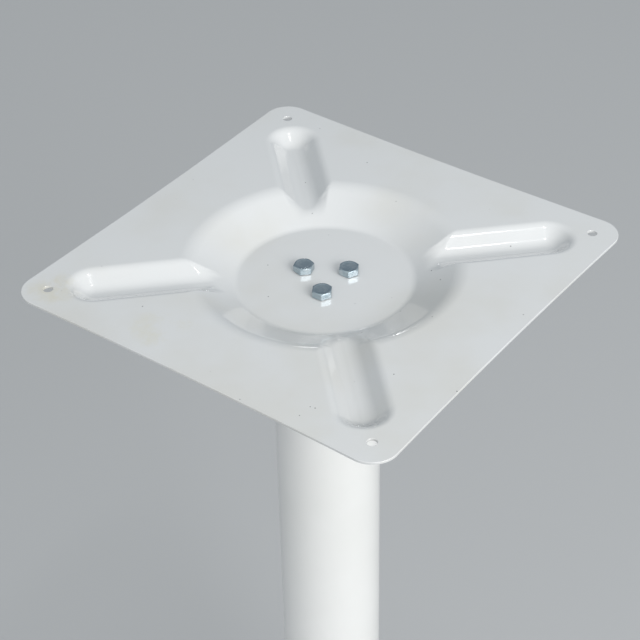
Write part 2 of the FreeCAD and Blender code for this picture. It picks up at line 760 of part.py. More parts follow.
def make_everything():
    make_top_plate()
    make_column_tube()
    make_plug("column_top_plug", f"{PLATE_UNDERSIDE} - Dims.plug_thick", chamfer_on_top=False)
    make_plug("column_bottom_plug", "Dims.cover_seat_height", chamfer_on_top=True)
    make_base_cover()
    make_edge_trim()
    make_base_weight()
    make_clamp_plate()
    for number, angle in enumerate(BOLT_ANGLES, start=1):
        make_bolt(
            f"top_bolt_{number}", "Dims.top_bolt_length", TOP_HEAD_TURNS[number - 1], angle,
            "Dims.overall_height - Dims.dish_depth",
        )
        make_bolt(
            f"base_bolt_{number}", "Dims.base_bolt_length", BASE_HEAD_TURNS[number - 1], angle,
            f"{CLAMP_UNDERSIDE} - Dims.lock_washer_thick", upside_down=True,
        )
        make_lock_washer(
            f"base_lock_washer_{number}", angle, f"{CLAMP_UNDERSIDE} - Dims.lock_washer_thick",
            BASE_HEAD_TURNS[number - 1] * 3,
        )
    for number, angle in enumerate(GLIDE_ANGLES, start=1):
        make_glide_pad(f"glide_pad_{number}", angle)
        make_glide_stud(f"glide_stud_{number}", angle, GLIDE_HEX_TURNS[number - 1])


def check_document():
    """Stops if any object failed or any sub-part isn't one valid solid."""
    doc.recompute()
    for item in doc.Objects:
        if "Invalid" in item.State or "Error" in item.State:
            raise RuntimeError(f"{item.Name} failed: {item.State}")
    for sub_part in sub_parts:
        shape = sub_part.Shape
        if shape.isNull() or not shape.isValid() or len(shape.Solids) != 1:
            raise RuntimeError(f"{sub_part.Label} isn't one valid solid")


def export_sub_parts():
    os.makedirs("parts", exist_ok=True)
    for sub_part in sub_parts:
        sub_part.Shape.exportStep(f"parts/{sub_part.Label}.step")
        box = sub_part.Shape.BoundBox
        low = f"{box.XMin:.1f} {box.YMin:.1f} {box.ZMin:.1f}"
        high = f"{box.XMax:.1f} {box.YMax:.1f} {box.ZMax:.1f}"
        print(f"{sub_part.Label}: {sub_part.Shape.Volume:.0f} mm3, {low} to {high}")


fill_sheet()
make_everything()
check_document()
export_sub_parts()
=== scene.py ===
"""Looks for a pedestal table base: a pressed, painted square plate bolted on a round column over a
weighted round foot with screw glides. Metres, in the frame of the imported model."""
import json
import math

import bmesh
import bpy
from mathutils import Matrix, Vector
from mathutils.geometry import delaunay_2d_cdt


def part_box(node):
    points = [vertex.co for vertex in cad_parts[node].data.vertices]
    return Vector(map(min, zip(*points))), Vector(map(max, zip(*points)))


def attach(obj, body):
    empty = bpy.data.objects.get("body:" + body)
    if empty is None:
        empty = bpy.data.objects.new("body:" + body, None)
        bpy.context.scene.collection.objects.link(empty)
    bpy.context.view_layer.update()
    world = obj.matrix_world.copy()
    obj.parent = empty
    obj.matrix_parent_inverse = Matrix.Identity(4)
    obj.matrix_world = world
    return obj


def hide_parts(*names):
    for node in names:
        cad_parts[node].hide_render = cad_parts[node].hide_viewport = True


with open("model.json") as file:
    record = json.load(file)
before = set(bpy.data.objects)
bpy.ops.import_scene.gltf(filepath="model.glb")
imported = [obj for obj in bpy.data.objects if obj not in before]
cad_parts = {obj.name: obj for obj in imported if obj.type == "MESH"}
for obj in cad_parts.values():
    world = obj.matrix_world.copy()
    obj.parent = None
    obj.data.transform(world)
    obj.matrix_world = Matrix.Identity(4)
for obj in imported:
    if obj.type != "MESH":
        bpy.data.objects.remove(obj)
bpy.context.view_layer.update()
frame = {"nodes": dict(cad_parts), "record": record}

MM = 0.001
WELD_DISTANCE = 0.0001 * MM

# ------------------------------------------------------------------ sizes, in millimetres

# Outline of the pressing: sides that bow in, tangent to round corners
PLATE_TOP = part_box("top_plate")[1].z / MM
PLATE_HALF = 150.0
SIDE_BOW = 2.2
SIDE_RADIUS = (PLATE_HALF**2 + SIDE_BOW**2) / (2 * SIDE_BOW)
SIDE_CENTRE = PLATE_HALF - SIDE_BOW + SIDE_RADIUS
CORNER_RADIUS = 18.0
CORNER_TO_SIDE = SIDE_RADIUS + CORNER_RADIUS
CORNER_CENTRE = (SIDE_CENTRE - math.sqrt(2 * CORNER_TO_SIDE**2 - SIDE_CENTRE**2)) / 2
SHEET = 2.0
EDGE_ROUNDING = 0.45

# The round dish and the four beads on the diagonals
DISH_DEPTH = 15.5
DISH_FLOOR_RADIUS = 61.0
DISH_MOUTH_RADIUS = 92.5
DISH_FLOOR_BEND = 10.0
DISH_MOUTH_BEND = 26.0
BEAD_DEPTH = 9.6
BEAD_MOUTH_HALF = 17.2
BEAD_FLOOR_HALF = 5.8
BEAD_END = 154.7
BEAD_FLOOR_BEND = 12.0
BEAD_MOUTH_BEND = 9.0

# The soft ridge where a bead runs into the dish, broader on the bead's walls than on its floor
RIDGE_ON_FLOOR = 2.2
RIDGE_ON_WALL = 5.0
RIDGE_INNER = BEAD_FLOOR_HALF - 4.0
RIDGE_OUTER = BEAD_FLOOR_HALF + 5.0
RIDGE_TO_DEPTH = 1.2

# Holes
BOLT_CIRCLE_RADIUS = 18.0
BOLT_ANGLES = (90.0, 210.0, 330.0)
BOLT_HOLE = 4.5
SCREW_SPACING = 263.0
SCREW_HOLE = 3.25

# How finely the pressing is meshed
FINE_STEP = 1.25
COARSE_EVERY = 4
SIDE_STEPS = 90
CORNER_STEPS = 18
HOLE_STEPS = 40
ROLL_STEPS = 3
EDGE_CLEARANCE = FINE_STEP * 0.7
SLOPE_STEP = 0.05

# M8 thread: the widths of its crest, root and flanks are shares of its pitch
PITCH = 1.25
THREAD_RADIUS = 4.0
THREAD_ROOT = 3.25
THREAD_CORE = THREAD_ROOT - 0.05
CREST = 1 / 8
ROOT = 1 / 4
FLANK = (1 - CREST - ROOT) / 2
ROOT_START = CREST + FLANK
ROOT_END = ROOT_START + ROOT
ON_FIRST_FLANK = 0.28
ON_SECOND_FLANK = 0.85
THREAD_PHASES = (0.0, CREST, ON_FIRST_FLANK, ROOT_START, ROOT_END, ON_SECOND_FLANK)
FULL_TURN = 2 * math.pi

# M8 bolts: a washer face under the hexagon, and a shallow recess in its top, given as steps
# inward from the chamfer and down
TOP_BOLT_LENGTH = 20.0
FOOT_BOLT_LENGTH = 40.0
NECK = 0.8
WASHER_FACE_RADIUS = 5.8
WASHER_FACE = 0.4
WASHER_FACE_EDGE = 0.1
HEAD_FLATS = 13.0
HEAD_TOP = 5.3
HEAD_CROWN = 6.2
HEAD_CHAMFER = math.radians(30)
HEAD_SOFTNESS = 0.10
HEAD_SUPPORT = 0.28
RECESS = ((0.8, 0.0), (1.0, 0.02), (1.5, 0.12), (1.8, 0.14))

# Hexagons: the higher the power, the sharper their corners. The steps are the angles, in degrees,
# of a screw's columns of points from one corner to the next
CORNER_POWER = 60.0
COLUMN_STEPS = (0.0, 1.2, 2.4, 4.5, 9.0, 15.0, 22.5, 30.0, 37.5, 45.0, 51.0, 55.5, 57.6, 58.8)

# Levelling screws
GLIDE_CIRCLE_RADIUS = 180.0
GLIDE_FLATS = 14.0
GLIDE_HEX_LOW = 7.4
GLIDE_HEX_HIGH = 12.0
GLIDE_HEX_SOFTNESS = 0.12
COLLAR_RADIUS = 5.6
COLLAR_HEIGHT = 2.4
COLLAR_EDGE = 0.1
GLIDE_NECK_RADIUS = 3.6

# How far each screw was turned when it was tight, in degrees
TOP_TURNS = (17.0, 32.0, 31.5)
FOOT_TURNS = (8.0, 44.0, 23.0)
GLIDE_TURNS = (0.0, 22.0, 11.0, 41.0)


# ------------------------------------------------------------------ meshes


def mesh_object(name, vertices, faces, normals=None):
    """A smooth-shaded piece from vertices in millimetres, with its own normals where given."""
    mesh = bpy.data.meshes.new(name)
    mesh.from_pydata([tuple(c * MM for c in v) for v in vertices], [], faces)
    mesh.validate()
    mesh.shade_smooth()
    if normals:
        mesh.normals_split_custom_set_from_vertices(normals)
    piece = bpy.data.objects.new(name, mesh)
    bpy.context.scene.collection.objects.link(piece)
    return piece


def weld_doubles(piece):
    """Merges the vertices that lie on each other and drops the faces that this flattens."""
    work = bmesh.new()
    work.from_mesh(piece.data)
    bmesh.ops.remove_doubles(work, verts=work.verts, dist=WELD_DISTANCE)
    bmesh.ops.dissolve_degenerate(work, edges=work.edges, dist=WELD_DISTANCE)
    bmesh.ops.recalc_face_normals(work, faces=work.faces)
    work.to_mesh(piece.data)
    work.free()


def loft(name, rings, angles):
    """A closed skin through rings. A ring is a function from an angle to (x, y, z). The first and
    the last ring are points, and a helical ring ends where the ring one turn further up starts."""
    width = len(angles)
    vertices = [ring(a) for ring in rings for a in angles]
    faces = []
    for row in range(len(rings) - 1):
        for i in range(width - 1):
            k = row * width + i
            faces.append((k, k + 1, k + 1 + width, k + width))
    piece = mesh_object(name, vertices, faces)
    weld_doubles(piece)
    return piece


# ------------------------------------------------------------------ the pressing's shape


def clamp(value, low=0.0, high=1.0):
    return max(low, min(high, value))


def smooth_step(value, low, high):
    """0 up to low, 1 from high, and an S-curve between them."""
    t = clamp((value - low) / (high - low))
    return t * t * (3 - 2 * t)


def channel_depth(distance, floor_half, mouth_half, depth, floor_bend, mouth_bend):
    """Depth of a pressed channel's skin at a distance from its middle: floor, bend, straight wall,
    bend and flat rim."""
    slope = math.atan2(depth, mouth_half - floor_half)
    tangent = math.tan(slope / 2)
    floor_start = floor_half - floor_bend * tangent
    floor_end = floor_half + floor_bend * tangent * math.cos(slope)
    mouth_start = mouth_half - mouth_bend * tangent * math.cos(slope)
    mouth_end = mouth_half + mouth_bend * tangent
    if distance <= floor_start:
        return depth
    if distance < floor_end:
        across = distance - floor_start
        return depth - (floor_bend - math.sqrt(floor_bend**2 - across**2))
    if distance <= mouth_start:
        return (mouth_half - distance) * math.tan(slope)
    if distance < mouth_end:
        across = mouth_end - distance
        return mouth_bend - math.sqrt(mouth_bend**2 - across**2)
    return 0.0


def dish_depth(x, y):
    """Depth of the round dish alone."""
    return channel_depth(
        math.hypot(x, y), DISH_FLOOR_RADIUS, DISH_MOUTH_RADIUS,
        DISH_DEPTH, DISH_FLOOR_BEND, DISH_MOUTH_BEND,
    )


def bead_distance(x, y):
    """Distance from the nearest diagonal's middle line, which stops at the bead's round end."""
    u, v = abs(x + y) / math.sqrt(2), abs(x - y) / math.sqrt(2)
    along, across = max(u, v), min(u, v)
    return math.hypot(max(0.0, along - BEAD_END), across)


def bead_depth(distance):
    """Depth of a bead alone, at a distance from its middle line."""
    return channel_depth(
        distance, BEAD_FLOOR_HALF, BEAD_MOUTH_HALF, BEAD_DEPTH, BEAD_FLOOR_BEND, BEAD_MOUTH_BEND
    )


def pressed_depth(x, y):
    """Depth of the pressing's upper skin, with a soft ridge where a bead runs into the dish."""
    dish, distance = dish_depth(x, y), bead_distance(x, y)
    bead = bead_depth(distance)
    shallow, deep = min(dish, bead), max(dish, bead)
    if shallow <= 0.0:
        return deep
    on_wall = smooth_step(distance, RIDGE_INNER, RIDGE_OUTER)
    broad = RIDGE_ON_FLOOR + (RIDGE_ON_WALL - RIDGE_ON_FLOOR) * on_wall
    blend = min(broad, shallow * RIDGE_TO_DEPTH)
    overlap = max(blend - (deep - shallow), 0.0) / blend
    return deep + overlap**2 * blend / 4


def skin_normal(x, y):
    """Unit normal of the upper skin, from its slope over a short step."""
    step = SLOPE_STEP
    dx = (pressed_depth(x + step, y) - pressed_depth(x - step, y)) / (2 * step)
    dy = (pressed_depth(x, y + step) - pressed_depth(x, y - step)) / (2 * step)
    return Vector((dx, dy, 1.0)).normalized()


def plate_outline(inset):
    """The plate's outline, counter-clockwise, and its outward directions: four long arcs that bow
    in, and a round corner after each."""
    side_radius, corner_radius = SIDE_RADIUS + inset, CORNER_RADIUS - inset
    side_centre = Vector((SIDE_CENTRE, 0, 0))
    corner_centre = Vector((CORNER_CENTRE, CORNER_CENTRE, 0))
    reach = math.atan2(CORNER_CENTRE, SIDE_CENTRE - CORNER_CENTRE)
    points, outward = [], []
    for quarter in range(4):
        spin = Matrix.Rotation(math.pi / 2 * quarter, 3, "Z")
        for i in range(1, SIDE_STEPS):
            a = reach * (2 * i / SIDE_STEPS - 1)
            out = Vector((math.cos(a), -math.sin(a), 0))
            points.append((spin @ (side_centre - out * side_radius)).xy)
            outward.append(spin @ out)
        for i in range(CORNER_STEPS + 1):
            a = -reach + (math.pi / 2 + 2 * reach) * i / CORNER_STEPS
            out = Vector((math.cos(a), math.sin(a), 0))
            points.append((spin @ (corner_centre + out * corner_radius)).xy)
            outward.append(spin @ out)
    return points, outward


def outline_gap(x, y):
    """How far inside the plate's outline a point lies."""
    x, y = max(abs(x), abs(y)), min(abs(x), abs(y))
    if y > CORNER_CENTRE:
        return CORNER_RADIUS - math.hypot(x - CORNER_CENTRE, y - CORNER_CENTRE)
    return math.hypot(SIDE_CENTRE - x, y) - SIDE_RADIUS


def hole_outline(cx, cy, radius, inset):
    """A hole's outline, clockwise, and the directions into the hole."""
    points, outward = [], []
    for i in range(HOLE_STEPS):
        a = -FULL_TURN * i / HOLE_STEPS
        outward.append(Vector((-math.cos(a), -math.sin(a), 0)))
        points.append((cx + (radius + inset) * math.cos(a), cy + (radius + inset) * math.sin(a)))
    return points, outward


def hole_places():
    """Middle and radius of each bolt hole and screw hole."""
    places = []
    for angle in BOLT_ANGLES:
        a = math.radians(angle)
        x, y = BOLT_CIRCLE_RADIUS * math.cos(a), BOLT_CIRCLE_RADIUS * math.sin(a)
        places.append((x, y, BOLT_HOLE))
    for sx in (-1, 1):
        for sy in (-1, 1):
            places.append((sx * SCREW_SPACING / 2, sy * SCREW_SPACING / 2, SCREW_HOLE))
    return places


HOLES = hole_places()


def inner_points():
    """Points over the sheet: close together where it bends and far apart where it is flat."""
    points = []
    count = round(PLATE_HALF / FINE_STEP)
    for row in range(-count, count + 1):
        for column in range(-count, count + 1):
            x, y = column * FINE_STEP, row * FINE_STEP
            coarse = row % COARSE_EVERY == 0 and column % COARSE_EVERY == 0
            if (coarse or bends_near(x, y)) and clear_of_edges(x, y, EDGE_CLEARANCE):
                points.append(Vector((x, y)))
    return points


def bends_near(x, y):
    """True where the skin isn't level, and a little past that."""
    level_floor = math.hypot(x, y) < DISH_FLOOR_RADIUS - DISH_FLOOR_BEND
    near_dish = math.hypot(x, y) < DISH_MOUTH_RADIUS + DISH_MOUTH_BEND / 2
    near_bead = bead_distance(x, y) < BEAD_MOUTH_HALF + BEAD_MOUTH_BEND / 2
    return not level_floor and (near_dish or near_bead)


def clear_of_edges(x, y, gap):
    """True for a point in the sheet that keeps a gap to the rolled edges of its outline and holes."""
    for cx, cy, radius in HOLES:
        if math.hypot(x - cx, y - cy) < radius + EDGE_ROUNDING + gap:
            return False
    return outline_gap(x, y) > EDGE_ROUNDING + gap


def in_sheet(triangle, points):
    """True for a triangle whose middle lies in the sheet and not in a hole or past a corner.
    A known fault: slivers over the inner half of a rolled edge pass too, and are stray faces."""
    x = sum(points[i].x for i in triangle) / 3
    y = sum(points[i].y for i in triangle) / 3
    return clear_of_edges(x, y, -EDGE_ROUNDING / 2)


def triangulate(loops):
    """A flat triangulation of the sheet: its points, its triangles and each loop's point numbers."""
    flat, edges = [], []
    for points, _ in loops:
        start = len(flat)
        flat += [Vector(p) for p in points]
        edges += [(start + i, start + (i + 1) % len(points)) for i in range(len(points))]
    rim_size = len(flat)
    flat += inner_points()
    found, _, triangles, original, _, _ = delaunay_2d_cdt(flat, edges, [], 0, 1e-6, True)
    triangles = [t for t in triangles if in_sheet(t, found)]
    order = {old[0]: new for new, old in enumerate(original)}
    rim = iter([order[i] for i in range(rim_size)])
    return found, triangles, [[next(rim) for _ in points] for points, _ in loops]


def roll_edge(vertices, normals, faces, tops, outward, count):
    """Closes the sheet's edge along a loop: a rolled upper edge, a straight cut and a lower edge.
    The lower skin's points are numbered count above the upper skin's."""
    rows = [tops]
    down = []
    for step in range(1, ROLL_STEPS + 1):
        a = math.pi / 2 * step / ROLL_STEPS
        down.append((EDGE_ROUNDING * math.sin(a), EDGE_ROUNDING * (1 - math.cos(a)), a))
    for step in range(ROLL_STEPS):
        a = math.pi / 2 * (1 + step / ROLL_STEPS)
        down.append((EDGE_ROUNDING * math.sin(a), SHEET - EDGE_ROUNDING * (1 + math.cos(a)), a))
    for out, drop, angle in down:
        row = []
        for top, direction in zip(tops, outward):
            row.append(len(vertices))
            vertices.append(vertices[top] + direction * out - Vector((0, 0, drop)))
            tilt = direction * math.sin(angle) + Vector((0, 0, math.cos(angle)))
            normals.append(tilt)
        rows.append(row)
    rows.append([top + count for top in tops])
    size = len(tops)
    for upper, lower in zip(rows, rows[1:]):
        for i in range(size):
            k = (i + 1) % size
            faces.append((upper[i], lower[i], lower[k], upper[k]))


def make_plate():
    """The pressing: an upper skin over a flat triangulation, a lower skin a sheet's thickness
    under it along its normal, and rolled edges between the two round the outline and the holes."""
    loops = [plate_outline(EDGE_ROUNDING)]
    loops += [hole_outline(x, y, radius, EDGE_ROUNDING) for x, y, radius in HOLES]
    found, triangles, rims = triangulate(loops)

    count = len(found)
    normals = [skin_normal(*point) for point in found]
    tops = [Vector((x, y, PLATE_TOP - pressed_depth(x, y))) for x, y in found]
    vertices = tops + [top - normal * SHEET for top, normal in zip(tops, normals)]
    normals += [-normal for normal in normals]
    faces = [tuple(t) for t in triangles]
    faces += [tuple(i + count for i in reversed(t)) for t in triangles]
    for rim, (_, outward) in zip(rims, loops):
        roll_edge(vertices, normals, faces, rim, outward, count)
    piece = mesh_object("plate_pressing", vertices, faces, normals)
    finish_piece(piece, "top_plate", "plate_paint", "stand")


# ------------------------------------------------------------------ threads and heads


def thread_radius(phase):
    """Radius of an M8 thread at a phase from 0 to 1 of its pitch: crest, flank, root, flank."""
    if phase < CREST:
        return THREAD_RADIUS
    if phase < ROOT_START:
        return THREAD_RADIUS + (THREAD_ROOT - THREAD_RADIUS) * (phase - CREST) / FLANK
    if phase < ROOT_END:
        return THREAD_ROOT
    return THREAD_ROOT + (THREAD_RADIUS - THREAD_ROOT) * (phase - ROOT_END) / FLANK


def thread_rings(low, high):
    """Helical rows of points up an M8 thread. Rows that start lower or end higher are held at the
    ends, where the thread is chamfered down to its core."""
    def helix(turn, phase):
        def ring(a):
            z = low + (turn + phase + a / FULL_TURN) * PITCH
            held = clamp(z, low, high)
            near_end = min(held - low, high - held)
            radius = min(thread_radius(phase), THREAD_CORE + near_end)
            return (radius * math.cos(a), radius * math.sin(a), held)
        return ring

    turns = math.ceil((high - low) / PITCH) + 1
    return [helix(turn, phase) for turn in range(-1, turns) for phase in THREAD_PHASES]


def round_ring(radius, z):
    """A level circle."""
    return lambda a: (radius * math.cos(a), radius * math.sin(a), z)


def hex_ring(flats, inset, height):
    """A hexagon with softened corners, one of them on +X. The height may depend on the radius."""
    def ring(a):
        spread = sum(abs(math.cos(a - math.radians(k))) ** CORNER_POWER for k in (30, 90, 150))
        radius = flats / 2 / spread ** (1 / CORNER_POWER)
        z = height(radius) if callable(height) else height
        return ((radius - inset) * math.cos(a), (radius - inset) * math.sin(a), z)
    return ring


def head_rings():
    """A forged hexagon head from its underside to the middle of its chamfered top. Each edge is
    softened, and has a second ring beside it that keeps the faces between the edges flat."""
    def chamfer(radius):
        return HEAD_TOP - max(radius - HEAD_CROWN, 0.0) * math.tan(HEAD_CHAMFER)

    soft, beside = HEAD_SOFTNESS, HEAD_SUPPORT
    on_chamfer = beside * 0.8
    past_crown = HEAD_CROWN + beside * 0.1
    return [
        hex_ring(HEAD_FLATS, beside, WASHER_FACE),
        hex_ring(HEAD_FLATS, soft, WASHER_FACE),
        hex_ring(HEAD_FLATS, 0.0, WASHER_FACE + soft),
        hex_ring(HEAD_FLATS, 0.0, WASHER_FACE + beside),
        hex_ring(HEAD_FLATS, 0.0, lambda radius: chamfer(radius) - beside),
        hex_ring(HEAD_FLATS, 0.0, lambda radius: chamfer(radius) - soft),
        hex_ring(HEAD_FLATS, soft, lambda radius: chamfer(radius - soft)),
        hex_ring(HEAD_FLATS, on_chamfer, lambda radius: chamfer(radius - on_chamfer)),
        round_ring(past_crown, chamfer(past_crown)),
        round_ring(HEAD_CROWN - soft, HEAD_TOP),
        round_ring(HEAD_CROWN - beside, HEAD_TOP),
        *[round_ring(HEAD_CROWN - inward, HEAD_TOP - down) for inward, down in RECESS],
        round_ring(0.0, HEAD_TOP - RECESS[-1][1]),
    ]


def screw_columns():
    """Angles round a screw, close together at the six corners, with the first one twice."""
    columns = [math.radians(60 * side + step) for side in range(6) for step in COLUMN_STEPS]
    return columns + [columns[0] + FULL_TURN]


def place(piece, x, y, z, turn, upside_down=False):
    """Moves a piece's mesh from its own axis to its place in the frame. The turn is in degrees."""
    flip = Matrix.Rotation(math.pi, 4, "X") if upside_down else Matrix.Identity(4)
    spin = Matrix.Rotation(math.radians(turn), 4, "Z")
    piece.data.transform(Matrix.Translation(Vector((x, y, z)) * MM) @ spin @ flip)


def make_bolt(name, node, length, place_at, turn, upside_down=False):
    """An M8 bolt threaded along its shank, with the seat under its head at z = 0."""
    rings = [round_ring(0.0, -length)]
    rings += thread_rings(-length, -NECK)
    rings += [
        round_ring(THREAD_CORE, -NECK),
        round_ring(THREAD_CORE, 0.0),
        round_ring(WASHER_FACE_RADIUS - WASHER_FACE_EDGE, 0.0),
        round_ring(WASHER_FACE_RADIUS, WASHER_FACE_EDGE),
        round_ring(WASHER_FACE_RADIUS, WASHER_FACE),
    ]
    rings += head_rings()
    piece = loft(name, rings, screw_columns())
    place(piece, *place_at, turn, upside_down)
    finish_piece(piece, node, "zinc_plate", "stand")


def make_bolts():
    """Three bolts through the plate and three from beneath the foot, each turned as it came tight."""
    seat_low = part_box("base_lock_washer_1")[0].z / MM
    for number, angle in enumerate(BOLT_ANGLES, start=1):
        a = math.radians(angle)
        x, y = BOLT_CIRCLE_RADIUS * math.cos(a), BOLT_CIRCLE_RADIUS * math.sin(a)
        top_at = (x, y, PLATE_TOP - DISH_DEPTH)
        make_bolt(
            f"plate_bolt_{number}", f"top_bolt_{number}", TOP_BOLT_LENGTH, top_at,
            TOP_TURNS[number - 1],
        )
        make_bolt(
            f"foot_bolt_{number}", f"base_bolt_{number}", FOOT_BOLT_LENGTH, (x, y, seat_low),
            FOOT_TURNS[number - 1], upside_down=True,
        )


def make_glide_screws():
    """Four threaded studs, each with a hexagon and the collar that its pad is moulded round."""
    for number, turn in enumerate(GLIDE_TURNS, start=1):
        node = f"glide_stud_{number}"
        low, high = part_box(node)
        bottom, tip = low.z / MM, high.z / MM
        collar_top = bottom + COLLAR_HEIGHT
        rings = [
            round_ring(0.0, bottom),
            round_ring(COLLAR_RADIUS - COLLAR_EDGE, bottom),
            round_ring(COLLAR_RADIUS, bottom + COLLAR_EDGE),
            round_ring(COLLAR_RADIUS, collar_top - COLLAR_EDGE),
            round_ring(COLLAR_RADIUS - COLLAR_EDGE, collar_top),
            round_ring(GLIDE_NECK_RADIUS, collar_top),
            round_ring(GLIDE_NECK_RADIUS, GLIDE_HEX_LOW),
            hex_ring(GLIDE_FLATS, GLIDE_HEX_SOFTNESS, GLIDE_HEX_LOW),
            hex_ring(GLIDE_FLATS, 0.0, GLIDE_HEX_LOW + GLIDE_HEX_SOFTNESS),
            hex_ring(GLIDE_FLATS, 0.0, GLIDE_HEX_HIGH - GLIDE_HEX_SOFTNESS),
            hex_ring(GLIDE_FLATS, GLIDE_HEX_SOFTNESS, GLIDE_HEX_HIGH),
            round_ring(THREAD_CORE, GLIDE_HEX_HIGH),
        ]
        rings += thread_rings(GLIDE_HEX_HIGH, tip)
        rings += [round_ring(0.0, tip)]
        piece = loft(f"levelling_screw_{number}", rings, screw_columns())
        a = math.radians(90 * number - 45)
        x, y = GLIDE_CIRCLE_RADIUS * math.cos(a), GLIDE_CIRCLE_RADIUS * math.sin(a)
        place(piece, x, y, 0.0, turn)
        finish_piece(piece, node, "zinc_plate", f"glide_screw_{number}")


# ------------------------------------------------------------------ materials


class Nodes:
    """Short ways to add shader nodes to one material."""

    def __init__(self, name):
        self.material = bpy.data.materials.new(name)
        self.material.use_nodes = True
        self.tree = self.material.node_tree
        self.shader = self.tree.nodes["Principled BSDF"]
        self.place = self.add("ShaderNodeTexCoord").outputs["Object"]

    def add(self, kind, **settings):
        """A new node of a kind, with its settings."""
        node = self.tree.nodes.new(kind)
        for key, value in settings.items():
            setattr(node, key, value)
        return node

    def link(self, source, target):
        """Joins an output to an input."""
        self.tree.links.new(source, target)

    def set(self, **values):
        """Sets the shader's own sockets, named with _ for each space."""
        for key, value in values.items():
            self.shader.inputs[key.replace("_", " ")].default_value = value

    def noise(self, scale, detail, rough=0.5, stretch=None):
        """Noise with a scale in features per metre, drawn out along an axis whose stretch is low."""
        node = self.add("ShaderNodeTexNoise")
        node.inputs["Scale"].default_value = scale
        node.inputs["Detail"].default_value = detail
        node.inputs["Roughness"].default_value = rough
        source = self.place
        if stretch:
            mapping = self.add("ShaderNodeMapping")
            mapping.inputs["Scale"].default_value = stretch
            self.link(source, mapping.inputs["Vector"])
            source = mapping.outputs["Vector"]
        self.link(source, node.inputs["Vector"])
        return node.outputs["Fac"]

    def band(self, value, low, high, to_low=0.0, to_high=1.0):
        """Maps low..high to to_low..to_high, smoothly, and holds the ends."""
        node = self.add("ShaderNodeMapRange", interpolation_type="SMOOTHSTEP")
        self.link(value, node.inputs["Value"])
        for key, number in (
            ("From Min", low), ("From Max", high), ("To Min", to_low), ("To Max", to_high)
        ):
            node.inputs[key].default_value = number
        return node.outputs["Result"]

    def math(self, operation, first, second):
        """An operation on two values, each a number or an output."""
        node = self.add("ShaderNodeMath", operation=operation)
        for socket, value in zip(node.inputs, (first, second)):
            if isinstance(value, (int, float)):
                socket.default_value = value
            else:
                self.link(value, socket)
        return node.outputs["Value"]

    def blend(self, amount, under, over):
        """Mixes two colours, each a tuple or an output."""
        node = self.add("ShaderNodeMix", data_type="RGBA")
        self.link(amount, node.inputs["Factor"])
        for socket, value in ((node.inputs["A"], under), (node.inputs["B"], over)):
            if isinstance(value, tuple):
                socket.default_value = (*value, 1.0)
            else:
                self.link(value, socket)
        return node.outputs["Result"]

    def bump(self, height, strength, distance, under=None):
        """A normal from a height, over another normal where one is given. Distance is in metres."""
        node = self.add("ShaderNodeBump")
        node.inputs["Strength"].default_value = strength
        node.inputs["Distance"].default_value = distance
        self.link(height, node.inputs["Height"])
        if under:
            self.link(under, node.inputs["Normal"])
        return node.outputs["Normal"]

    def near(self, point, low, high):
        """1 at a point in millimetres, fading to 0 between two distances from it."""
        node = self.add("ShaderNodeVectorMath", operation="DISTANCE")
        self.link(self.place, node.inputs[0])
        node.inputs[1].default_value = [c * MM for c in point]
        return self.band(node.outputs["Value"], low * MM, high * MM, 1.0, 0.0)

    def specks(self, cell, radius, share):
        """Small round marks: one in some of the cells of a given size, all in millimetres."""
        node = self.add("ShaderNodeTexVoronoi")
        node.inputs["Scale"].default_value = 1.0 / (cell * MM)
        self.link(self.place, node.inputs["Vector"])
        size = radius / cell
        dot = self.band(node.outputs["Distance"], size * 0.5, size, 1.0, 0.0)
        split = self.add("ShaderNodeSeparateColor")
        self.link(node.outputs["Color"], split.inputs["Color"])
        chosen = self.math("GREATER_THAN", split.outputs["Red"], 1.0 - share)
        return self.math("MULTIPLY", dot, chosen)

    def finish(self, colour, roughness, normal):
        """Links the three outputs that every surface has, and gives the material."""
        for value, socket in (
            (colour, "Base Color"), (roughness, "Roughness"), (normal, "Normal")
        ):
            self.link(value, self.shader.inputs[socket])
        return self.material


def plate_paint():
    """Gloss off-white powder coat: orange peel, warm handling stains and dark specks."""
    n = Nodes("plate_paint")
    n.set(Coat_Weight=0.8, Coat_Roughness=0.02, IOR=1.5)
    cloud = n.band(n.noise(9.0, 4.0), 0.42, 0.66)
    colour = n.blend(cloud, (0.66, 0.665, 0.665), (0.63, 0.625, 0.60))
    at_hole = n.near((-128, 128, PLATE_TOP), 6, 34)
    grime = n.math("MULTIPLY", n.noise(70.0, 5.0, 0.7), at_hole)
    colour = n.blend(n.band(grime, 0.25, 0.62), colour, (0.63, 0.61, 0.54))
    by_side = n.near((-122, 40, PLATE_TOP), 5, 60)
    smear = n.math("MULTIPLY", n.noise(30.0, 6.0, 0.75), by_side)
    colour = n.blend(n.band(smear, 0.38, 0.62), colour, (0.64, 0.63, 0.575))
    colour = n.blend(n.specks(9.0, 0.55, 0.26), colour, (0.08, 0.08, 0.08))
    rough = n.band(n.noise(30.0, 3.0), 0.35, 0.65, 0.13, 0.20)
    peel = n.bump(n.noise(260.0, 2.0), 0.05, 0.0001)
    return n.finish(colour, rough, n.bump(n.noise(1800.0, 2.0), 0.04, 0.00002, peel))


def column_paint():
    """Gloss white powder coat, cleaner and whiter than the plate's."""
    n = Nodes("column_paint")
    n.set(Coat_Weight=0.5, Coat_Roughness=0.08, IOR=1.5)
    cloud = n.band(n.noise(7.0, 4.0), 0.40, 0.68)
    colour = n.blend(cloud, (0.835, 0.83, 0.815), (0.80, 0.797, 0.775))
    colour = n.blend(n.specks(16.0, 0.5, 0.12), colour, (0.30, 0.29, 0.28))
    rough = n.band(n.noise(30.0, 3.0), 0.35, 0.65, 0.29, 0.32)
    peel = n.bump(n.noise(240.0, 2.0), 0.05, 0.00005)
    return n.finish(colour, rough, n.bump(n.noise(1600.0, 2.0), 0.04, 0.00001, peel))


